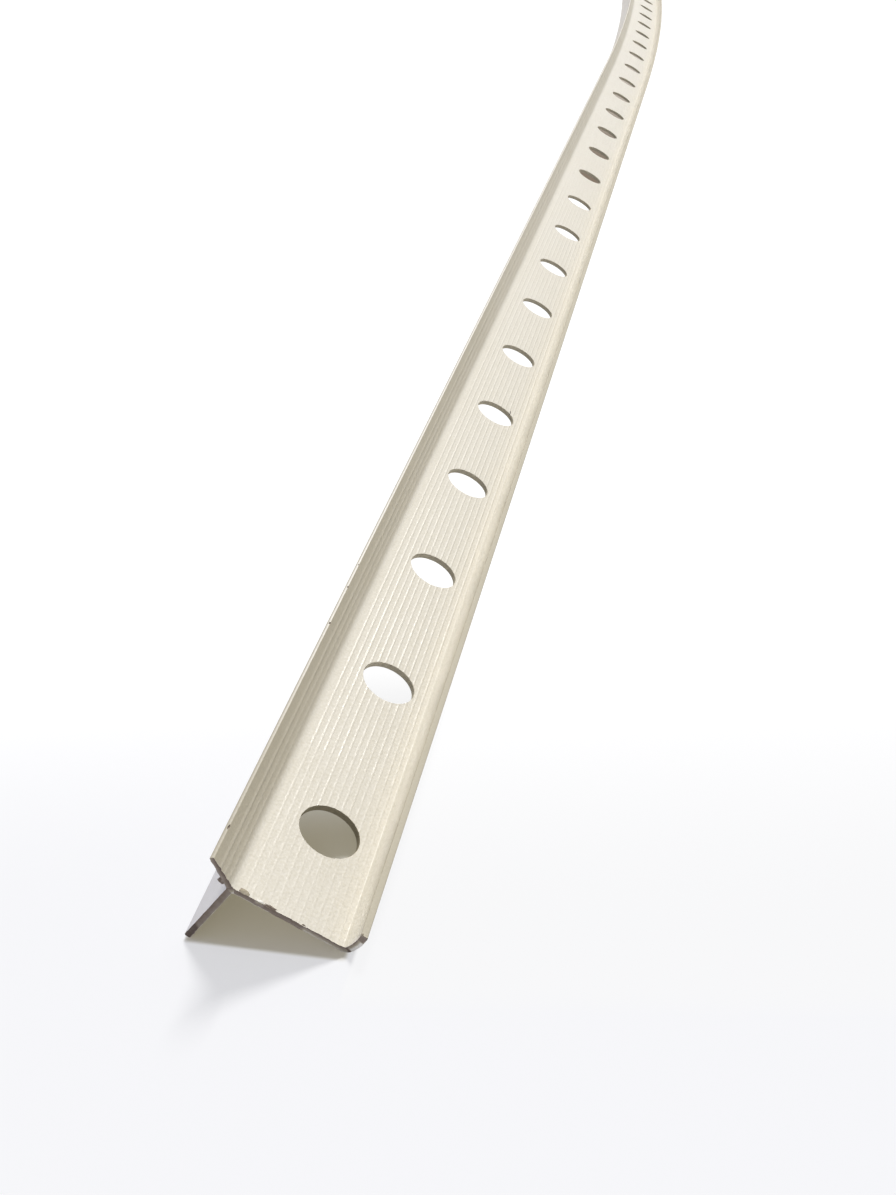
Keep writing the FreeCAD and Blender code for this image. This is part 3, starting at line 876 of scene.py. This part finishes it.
def finishBead(target, farLine, farEnd):
    mesh = bmesh.new()
    mesh.from_mesh(target.data)
    bmesh.ops.remove_doubles(mesh, verts=mesh.verts, dist=beadWeld)
    straighten(mesh)
    cutStretches(mesh)
    smoothAndSharp(mesh)
    straight = mesh.verts.layers.float_vector.new("straight")    # what the materials read
    crest = mesh.verts.layers.float.new("crest")
    smear = mesh.verts.layers.float.new("smear")
    shade = mesh.verts.layers.float.new("shade")
    for vert in mesh.verts:
        vert[straight] = vert.co * mm
        vert[shade] = paintedShadeAt(vert.co)
        nearCut = vert.co.y < sawnAlong(*sectionPlace(vert.co)) + sawCut["behind"]
        vert[smear] = smearAt(vert.co) if nearCut else sawCut["nickDark"]
    lowerRibsAndPaintLight(mesh, crest)
    for vert in mesh.verts:
        vert.co = bend(vert.co, farLine, farEnd) * mm
        vert.co.z = max(0.0, vert.co.z)            # nothing reaches below the floor
    mesh.to_mesh(target.data)
    mesh.free()


# Camera: where it stood, in millimetres from the floor under the near end's corner, and how it pointed
camera = {
    "place": (80.17, -127.6, 131.35),
    "yaw": 17.136,           # left of the near run
    "pitch": -28.98,
    "roll": -12.362,
    "focal": 1327.2,         # in pixels of the frame below
    "frame": (896, 1195),
}


def addCamera(farLine, farEnd):
    data = bpy.data.cameras.new("view")
    data.sensor_fit = "VERTICAL"
    data.sensor_height = 36.0
    data.lens = camera["focal"] * data.sensor_height / camera["frame"][1]
    data.clip_start = 0.005
    data.clip_end = 100.0
    made = bpy.data.objects.new("view", data)
    bpy.context.scene.collection.objects.link(made)
    place = bend(Vector(camera["place"]), farLine, farEnd) * mm
    bowTurn = bead["bowRun"] / bead["bowRadius"]
    turn = (Matrix.Rotation(math.radians(camera["yaw"]) - bowTurn, 4, "Z")
            @ Matrix.Rotation(math.radians(90 + camera["pitch"]), 4, "X")
            @ Matrix.Rotation(math.radians(camera["roll"]), 4, "Z"))
    made.matrix_world = Matrix.Translation(place) @ turn
    bpy.context.scene.camera = made


# Light: a broad soft lamp from above, behind and a little right, a weak cool one from the left, and
# an even white room
light = {
    "keyStrength": 2.85,
    "keySpread": 16.0,
    "keyFrom": (0.2, 0.63, 0.75),
    "keyColour": (1.0, 0.995, 0.99),
    "coolStrength": 0.55,
    "coolSpread": 40.0,
    "coolFrom": (-0.95, 0.15, 0.28),
    "coolColour": (0.2, 0.3, 1.0),
    "room": 0.38,
    "roomColour": colour(250, 251, 255),
}


def addLamp(name, strength, spread, fromWhere, tint):
    lamp = bpy.data.lights.new(name, "SUN")
    lamp.energy = strength
    lamp.angle = math.radians(spread)
    lamp.color = tint
    made = bpy.data.objects.new(name, lamp)
    made.rotation_euler = Vector(fromWhere).to_track_quat("Z", "Y").to_euler()
    bpy.context.scene.collection.objects.link(made)


def addLight():
    addLamp("keyLamp", light["keyStrength"], light["keySpread"], light["keyFrom"], light["keyColour"])
    addLamp("coolLamp", light["coolStrength"], light["coolSpread"], light["coolFrom"], light["coolColour"])


def seenDirectly(wire):
    # 1 for rays that come from the camera, straight or by a reflection or a clear piece
    straight, glossy, clear = [wire.node("ShaderNodeLightPath", None, None, out) for out in (0, 3, 6)]
    return (straight + glossy + clear).clamped()


def addRoom():
    world = bpy.data.worlds.new("room")
    bpy.context.scene.world = world
    world.use_nodes = True
    world.node_tree.nodes.clear()
    wire = Wire(world.node_tree)
    lit = wire.node("ShaderNodeBackground", None, {"Color": light["roomColour"], "Strength": light["room"]})
    seen = wire.node("ShaderNodeBackground", None, {"Color": white, "Strength": 1.0})
    both = wire.node("ShaderNodeMixShader", None, {0: seenDirectly(wire), 1: lit, 2: seen})
    sendOut(both, "ShaderNodeOutputWorld")


# Floor: pale and matt, and white to the camera except for the shadow at the near end and under the bead,
# where a painted warm shade, then painted white light and then a painted brown shade are shown.
# Shares say how much of what only the camera sees is mixed in, and places are in millimetres
floor = {
    "colour": colour(239, 239, 240),
    "size": 30.0,            # in metres
    "white": 1.12,           # brightness of what only the camera sees
    "near": colour(236, 236, 237),
    "nearShare": 0.6,        # round the near end
    "sideShare": 0.95,       # right of the bead, painted white over the lip's shadow
    "sideAcross": (0.4, 2.2),    # where that begins, right of the footprint and along the bead
    "sideAlong": (-16.0, -5.0),
    "underShare": 0.35,      # under the bead
    # a painted warm shade under the near end of the bead
    "paintedUnderShade": colour(178, 168, 136),
    "left": -10.9,           # the bead's footprint, from the near end's corner
    "right": 14.2,
    "front": 2.0,
    "slant": 0.143,          # how much nearer its front gets, for each millimetre across
    "back": 20.0,            # how far before the far end it fades out
    "soft": 1.0,
    "shaded": (7.0, 88.0),   # along the bead, where the floor under it turns from shaded to painted white light
    "tinted": (20.0, 50.0),  # and where it loses its painted warm shade
    "dimmed": (410.0, 434.0),    # and where a painted brown shade takes over, which gets paler up to paleAt
    "paintedShadeNear": colour(128, 115, 101),
    "paintedShadeFar": colour(196, 187, 177),
    "paleAt": 720.0,
    "opened": (4.0, 115.0),  # and where the floor beside it turns white
    "reach": (250.0, 600.0),     # from the near end, where the rest of the floor does
}


def rise(value, start, end):                       # from 0 at the start to 1 at the end
    return value.node("ShaderNodeMapRange", {"interpolation_type": "SMOOTHSTEP"},
                      {0: value, 1: start, 2: end, 3: 0.0, 4: 1.0})


def floorPlace(wire, farLine, farEnd):
    # in millimetres, along and across the bead's own bowed line, and away from its near end
    turn = bead["bowRun"] / bead["bowRadius"]
    start = bend(Vector((0, 0, 0)), farLine, farEnd) * mm
    place = wire.node("ShaderNodeTexCoord", None, None, 3)
    local = wire.node("ShaderNodeVectorMath", {"operation": "SUBTRACT"}, {0: place, 1: start})

    def measured(x, y):
        return wire.node("ShaderNodeVectorMath", {"operation": "DOT_PRODUCT"},
                         {0: local, 1: (x / mm, y / mm, 0)}, 1)

    along = measured(math.sin(turn), math.cos(turn))
    bowed = along.maths("MAXIMUM", along - bead["nearRun"], 0.0)
    curved = along.maths("MINIMUM", bowed, bead["bowRun"])
    aside = curved * (bowed - curved * 0.5) * (1 / bead["bowRadius"])    # how far the bow has led it left
    across = measured(math.cos(turn), -math.sin(turn)) + aside
    away = wire.node("ShaderNodeVectorMath", {"operation": "LENGTH"}, {0: local}, 1) * (1 / mm)
    return along, across, away


def floorSeen(along, across, away):
    # what only the camera sees of the floor, with its painted shade and painted light: its share and its
    # colour
    soft = floor["soft"]
    under = (rise(across, floor["left"] - soft, floor["left"])
             * rise(along + across * floor["slant"], floor["front"] - soft, floor["front"])
             * (1 - rise(across, floor["right"], floor["right"] + soft))
             * (1 - rise(along, bead["length"] - floor["back"], bead["length"])))
    opened = rise(along, *floor["opened"])
    opened = opened.maths("MAXIMUM", opened, rise(away, *floor["reach"]))
    beside = floor["nearShare"] + opened * (1 - floor["nearShare"])
    side = rise(across - floor["right"], *floor["sideAcross"]) * rise(along, *floor["sideAlong"])
    beside = beside.maths("MAXIMUM", beside, side * floor["sideShare"])
    beneath = floor["underShare"] + rise(along, *floor["shaded"]) * (1 - floor["underShare"])
    tinted = under * (1 - rise(along, *floor["tinted"]))
    shown = tinted.mix(opened.mix(floor["near"], white), floor["paintedUnderShade"])
    # painted brown shade under the far holes
    dim = rise(along, floor["dimmed"][1], floor["paleAt"]).mix(floor["paintedShadeNear"], floor["paintedShadeFar"])
    shown = (under * rise(along, *floor["dimmed"])).mix(shown, dim)
    return under * beneath + (1 - under) * beside, shown


def addFloor(farLine, farEnd):
    made = newObject("floor", lambda mesh: bmesh.ops.create_grid(
        mesh, x_segments=1, y_segments=1, size=floor["size"] / 2))
    material, wire = newMaterial("paleFloor")
    share, shown = floorSeen(*floorPlace(wire, farLine, farEnd))
    matt = wire.node("ShaderNodeBsdfDiffuse", None, {"Color": floor["colour"]})
    glow = wire.node("ShaderNodeEmission", None, {"Color": shown, "Strength": floor["white"]})
    sendOut(wire.node("ShaderNodeMixShader", None, {0: seenDirectly(wire) * share, 1: matt, 2: glow}))
    made.data.materials.append(material)


random.seed(randomSeed)
cornerBead = newObject("cornerBead", shapeBead, ivoryPlastic(), sawnPlastic(), punchedPlastic())
print("section swept, reach", round(bead["reach"], 3))

farLine = cadBox[1].x / mm - bead["reach"]         # the corner's line on the straight far run
farEnd = cadBox[1].y / mm
combine(cornerBead, newObject("tornLumps", tornLumps), "UNION")
combine(cornerBead, newObject("nicks", nicks), "DIFFERENCE")
combine(cornerBead, punchRow(), "DIFFERENCE")
print("holes punched", len(cornerBead.data.vertices))

finishBead(cornerBead, farLine, farEnd)
print("bead bent into place, faces", len(cornerBead.data.polygons))
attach(cornerBead, "root")
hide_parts("corner_bead")

addCamera(farLine, farEnd)
addLight()
addRoom()
addFloor(farLine, farEnd)
bpy.context.scene.view_settings.view_transform = "Standard"
print("camera, light and floor set")
